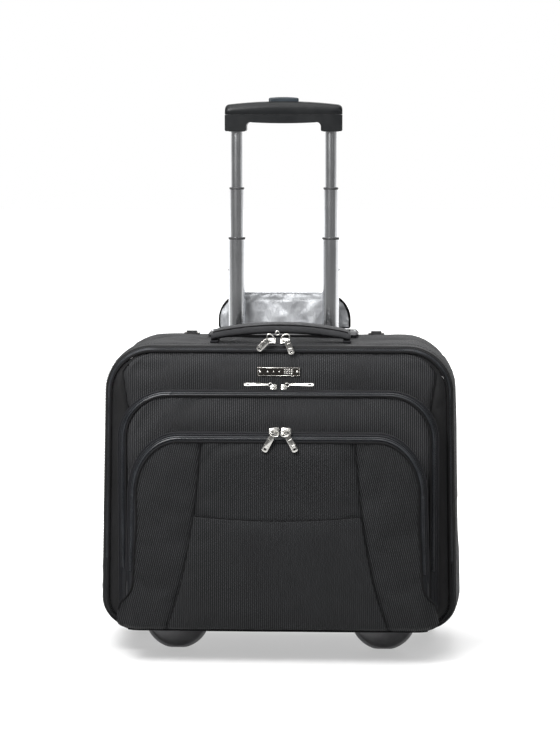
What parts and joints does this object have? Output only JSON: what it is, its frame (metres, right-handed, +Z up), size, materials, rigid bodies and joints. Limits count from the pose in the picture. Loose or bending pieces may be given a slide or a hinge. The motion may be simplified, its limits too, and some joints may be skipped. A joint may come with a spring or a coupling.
{
  "type": "rolling pilot flight case",
  "caption": "Soft-sided rolling flight case with telescopic handle, rear wheels, front feet, opening front lid and zipped front pockets.",
  "frame": {"origin": "on the ground, in the middle of the footprint of the standing case", "axes": "+Z up, -Y out of the front with the pockets, +X to the right seen from the front"},
  "size_m": [0.438, 0.248, 0.673],
  "materials": {
    "body_fabric": "black ribbed woven nylon",
    "piping": "black covered cord",
    "zip_tape": "dark zip tape and coil",
    "lining": "silver-grey coated lining",
    "moulding": "fine-grained black",
    "grip": "satin dark grey",
    "tyre": "matt black",
    "nickel": "polished nickel plate",
    "tube_aluminium": "satin polished",
    "steel": "brushed",
    "plate": "dark gunmetal, plain"
  },
  "bodies": {
    "case": {"gusset_shell": "body_fabric", "back_panel": "body_fabric", "base_board": "moulding", "lining_divider": "lining", "rim_wire": "steel", "rear_piping": "piping", "main_zip_tape": "zip_tape", "carry_handle": "body_fabric", "ring_tab_l": "body_fabric", "ring_tab_r": "body_fabric", "front_foot_l": "moulding", "front_foot_r": "moulding", "wheel_housing_l": "moulding", "wheel_housing_r": "moulding", "axle_l": "steel", "axle_r": "steel", "kick_plate": "moulding", "outer_tube_l": "steel", "outer_tube_r": "steel", "tube_bracket": "moulding", "handle_garage": "moulding", "garage_bezel": "moulding"},
    "ring_l": {"d_ring_l": "nickel"},
    "ring_r": {"d_ring_r": "nickel"},
    "wheel_l": {"wheel_hub_l": "moulding", "tyre_l": "tyre"},
    "wheel_r": {"wheel_hub_r": "moulding", "tyre_r": "tyre"},
    "lower_stage": {"lower_tube_l": "tube_aluminium", "lower_tube_r": "tube_aluminium", "lock_pin_l": "steel", "lock_pin_r": "steel"},
    "mid_stage": {"mid_tube_l": "tube_aluminium", "mid_tube_r": "tube_aluminium"},
    "top_stage": {"top_tube_l": "tube_aluminium", "top_tube_r": "tube_aluminium", "grip_underside": "grip", "grip_shell": "grip"},
    "button": {"release_button": "grip"},
    "garage_flap": {"garage_flap": "lining"},
    "front_lid": {"front_panel": "body_fabric", "front_piping": "piping", "name_plate": "plate", "pocket_1_gusset": "body_fabric"},
    "pocket_1_lid": {"pocket_1_cover": "body_fabric", "pocket_2_gusset": "body_fabric"},
    "pocket_2_lid": {"pocket_2_cover": "body_fabric", "slip_pocket": "body_fabric"},
    "main_slider_l": {"main_slider_l": "nickel"},
    "main_slider_r": {"main_slider_r": "nickel"},
    "main_pull_l": {"main_pull_l": "nickel"},
    "main_pull_r": {"main_pull_r": "nickel"},
    "pocket_1_slider_l": {"pocket_1_slider_l": "nickel"},
    "pocket_1_slider_r": {"pocket_1_slider_r": "nickel"},
    "pocket_1_pull_l": {"pocket_1_pull_l": "nickel"},
    "pocket_1_pull_r": {"pocket_1_pull_r": "nickel"},
    "pocket_2_slider_l": {"pocket_2_slider_l": "nickel"},
    "pocket_2_slider_r": {"pocket_2_slider_r": "nickel"},
    "pocket_2_pull_l": {"pocket_2_pull_l": "nickel"},
    "pocket_2_pull_r": {"pocket_2_pull_r": "nickel"}
  },
  "joints": [
    {"name": "wheel_l_spin", "type": "hinge", "parent": "case", "child": "wheel_l", "pos_m": [-0.182, 0.093, 0.031], "axis": [1, 0, 0], "continuous": true},
    {"name": "wheel_r_spin", "type": "hinge", "parent": "case", "child": "wheel_r", "pos_m": [0.182, 0.093, 0.031], "axis": [1, 0, 0], "continuous": true},
    {"name": "lower_slide", "type": "slide", "parent": "case", "child": "lower_stage", "axis": [0, 0, 1], "range_m": [-0.168, 0.022]},
    {"name": "mid_slide", "type": "slide", "parent": "lower_stage", "child": "mid_stage", "axis": [0, 0, 1], "range_m": [-0.058, 0.135]},
    {"name": "top_slide", "type": "slide", "parent": "mid_stage", "child": "top_stage", "axis": [0, 0, 1], "range_m": [-0.066, 0.126]},
    {"name": "button_press", "type": "slide", "parent": "top_stage", "child": "button", "axis": [0, 0, -1], "range_m": [0, 0.004], "stiffness_N_per_m": 400, "springref_m": -0.002},
    {"name": "flap_hinge", "type": "hinge", "parent": "case", "child": "garage_flap", "pos_m": [0, 0.1155, 0.3828], "axis": [1, 0, 0], "range_deg": [-110, 8]},
    {"name": "ring_l_swing", "type": "hinge", "parent": "case", "child": "ring_l", "pos_m": [-0.116, 0.095, 0.3775], "axis": [1, 0, 0], "range_deg": [0, 100]},
    {"name": "ring_r_swing", "type": "hinge", "parent": "case", "child": "ring_r", "pos_m": [0.116, 0.095, 0.3775], "axis": [1, 0, 0], "range_deg": [0, 100]},
    {"name": "lid_open", "type": "hinge", "parent": "case", "child": "front_lid", "pos_m": [0, -0.061, 0.036], "axis": [1, 0, 0], "range_deg": [0, 35]},
    {"name": "pocket_1_open", "type": "hinge", "parent": "front_lid", "child": "pocket_1_lid", "pos_m": [0, -0.092, 0.042], "axis": [1, 0, 0], "range_deg": [0, 25]},
    {"name": "pocket_2_open", "type": "hinge", "parent": "pocket_1_lid", "child": "pocket_2_lid", "pos_m": [0, -0.115, 0.046], "axis": [1, 0, 0], "range_deg": [0, 25]},
    {"name": "main_zip_l", "type": "slide", "parent": "front_lid", "child": "main_slider_l", "axis": [-1, 0, 0], "range_m": [0, 0.13]},
    {"name": "main_zip_r", "type": "slide", "parent": "front_lid", "child": "main_slider_r", "axis": [1, 0, 0], "range_m": [0, 0.13]},
    {"name": "main_pull_l_swing", "type": "hinge", "parent": "main_slider_l", "child": "main_pull_l", "pos_m": [-0.01, -0.0688, 0.3845], "axis": [-1, 0, 0], "range_deg": [0, 110]},
    {"name": "main_pull_r_swing", "type": "hinge", "parent": "main_slider_r", "child": "main_pull_r", "pos_m": [0.01, -0.0688, 0.3845], "axis": [-1, 0, 0], "range_deg": [0, 110]},
    {"name": "pocket_1_zip_l", "type": "slide", "parent": "pocket_1_lid", "child": "pocket_1_slider_l", "axis": [-1, 0, 0], "range_m": [0, 0.095]},
    {"name": "pocket_1_zip_r", "type": "slide", "parent": "pocket_1_lid", "child": "pocket_1_slider_r", "axis": [1, 0, 0], "range_m": [0, 0.095]},
    {"name": "pocket_1_pull_l_swing", "type": "hinge", "parent": "pocket_1_slider_l", "child": "pocket_1_pull_l", "pos_m": [-0.011, -0.0862, 0.3331], "axis": [0, 1, 0], "range_deg": [0, 120]},
    {"name": "pocket_1_pull_r_swing", "type": "hinge", "parent": "pocket_1_slider_r", "child": "pocket_1_pull_r", "pos_m": [0.011, -0.0862, 0.3331], "axis": [0, -1, 0], "range_deg": [0, 120]},
    {"name": "pocket_2_zip_l", "type": "slide", "parent": "pocket_2_lid", "child": "pocket_2_slider_l", "axis": [-1, 0, 0], "range_m": [0, 0.09]},
    {"name": "pocket_2_zip_r", "type": "slide", "parent": "pocket_2_lid", "child": "pocket_2_slider_r", "axis": [1, 0, 0], "range_m": [0, 0.09]},
    {"name": "pocket_2_pull_l_swing", "type": "hinge", "parent": "pocket_2_slider_l", "child": "pocket_2_pull_l", "pos_m": [-0.009, -0.1215, 0.275], "axis": [-1, 0, 0], "range_deg": [0, 110]},
    {"name": "pocket_2_pull_r_swing", "type": "hinge", "parent": "pocket_2_slider_r", "child": "pocket_2_pull_r", "pos_m": [0.009, -0.1215, 0.275], "axis": [-1, 0, 0], "range_deg": [0, 110]}
  ]
}
